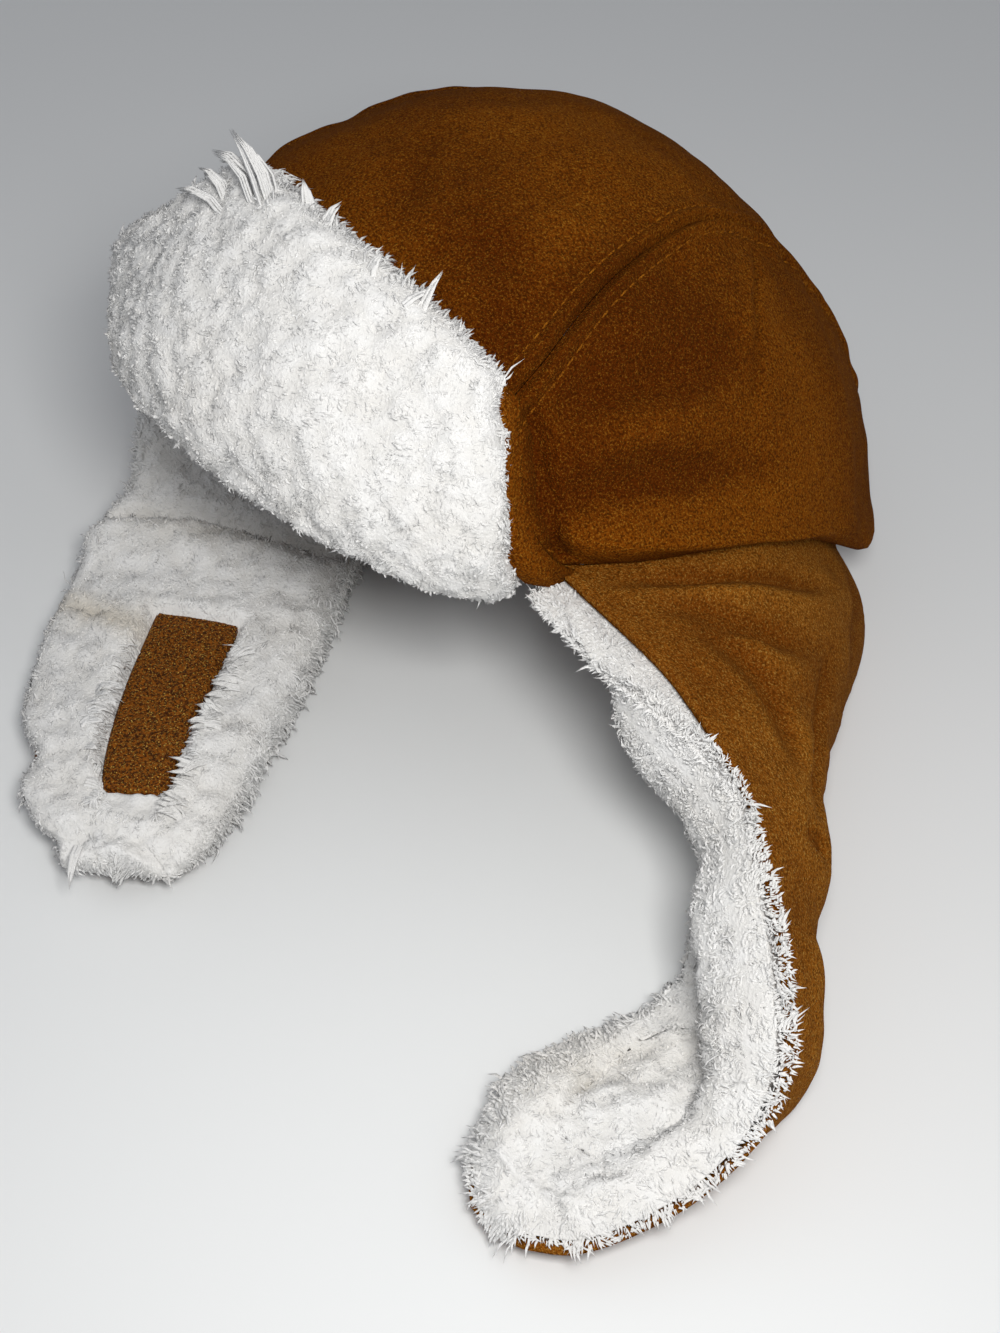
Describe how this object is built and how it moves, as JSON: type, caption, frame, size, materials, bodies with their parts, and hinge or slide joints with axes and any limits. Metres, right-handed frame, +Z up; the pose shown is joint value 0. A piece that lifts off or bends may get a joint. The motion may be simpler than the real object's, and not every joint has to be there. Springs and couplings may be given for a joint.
{
  "type": "winter hat",
  "caption": "Child's trapper-style winter hat: domed fleece crown, turned-up pile front flap and two long pile-lined ear flaps, one with a hook-and-loop patch.",
  "frame": {"origin": "middle of the base of the hat's box, on the table that it stands on", "axes": "+Z up, -Y the front, where the face opening looks, +X the wearer's left"},
  "size_m": [0.2576, 0.2236, 0.1178],
  "materials": {
    "brown_fleece": "matt brushed fleece",
    "white_pile": "deep curly pile",
    "hook_tape": "grainy loop tape"
  },
  "bodies": {
    "root": {"crown_top_panel": "brown_fleece", "crown_left_panel": "brown_fleece", "crown_right_panel": "brown_fleece", "front_flap_shell": "brown_fleece", "front_flap_sherpa": "white_pile", "left_flap_shell": "brown_fleece", "left_flap_sherpa": "white_pile", "right_flap_shell": "brown_fleece", "right_flap_sherpa": "white_pile", "closure_patch": "hook_tape"}
  },
  "joints": []
}
